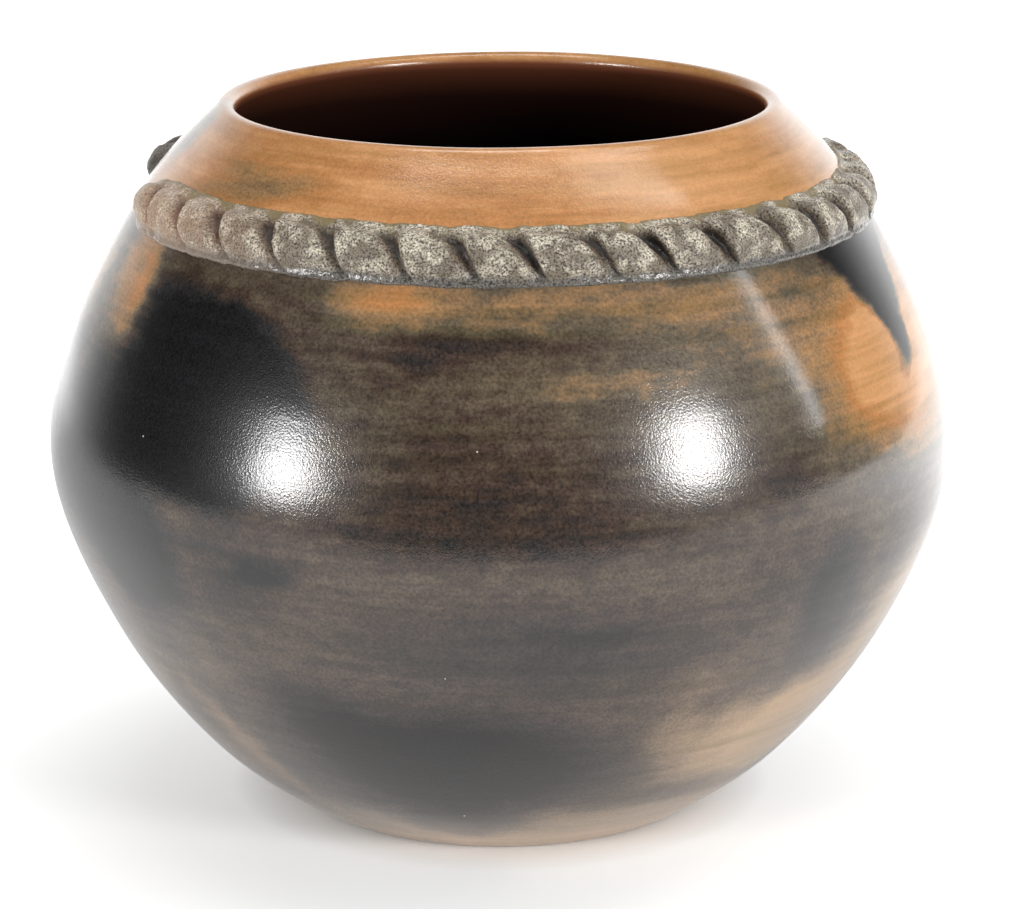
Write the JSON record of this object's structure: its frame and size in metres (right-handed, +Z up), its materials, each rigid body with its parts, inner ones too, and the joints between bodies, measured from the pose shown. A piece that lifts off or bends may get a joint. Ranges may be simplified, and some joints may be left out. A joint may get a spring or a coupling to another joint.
{
  "type": "burnished clay pot",
  "caption": "Round-bellied coil-built clay pot with a flat foot, a sloping neck, a wide round mouth and an applied roped clay band that stops short of closing.",
  "frame": {"origin": "centre of the flat underside of the foot", "axes": "+Z up through the mouth, -Y towards the front of the picture, +X to its right; the gap in the roped band is on the -X side"},
  "size_m": [0.235, 0.235, 0.1844],
  "materials": {
    "burnished_clay": "stone-burnished and pitch-coated, satin gloss with fire clouds",
    "roped_clay": "unburnished, gritty crests with glossy brown pitch in the grooves"
  },
  "bodies": {
    "root": {"base": "burnished_clay", "wall_coil_01": "burnished_clay", "wall_coil_02": "burnished_clay", "wall_coil_03": "burnished_clay", "wall_coil_04": "burnished_clay", "wall_coil_05": "burnished_clay", "wall_coil_06": "burnished_clay", "wall_coil_07": "burnished_clay", "wall_coil_08": "burnished_clay", "wall_coil_09": "burnished_clay", "wall_coil_10": "burnished_clay", "rim_coil": "burnished_clay", "roped_band": "roped_clay"}
  },
  "joints": []
}
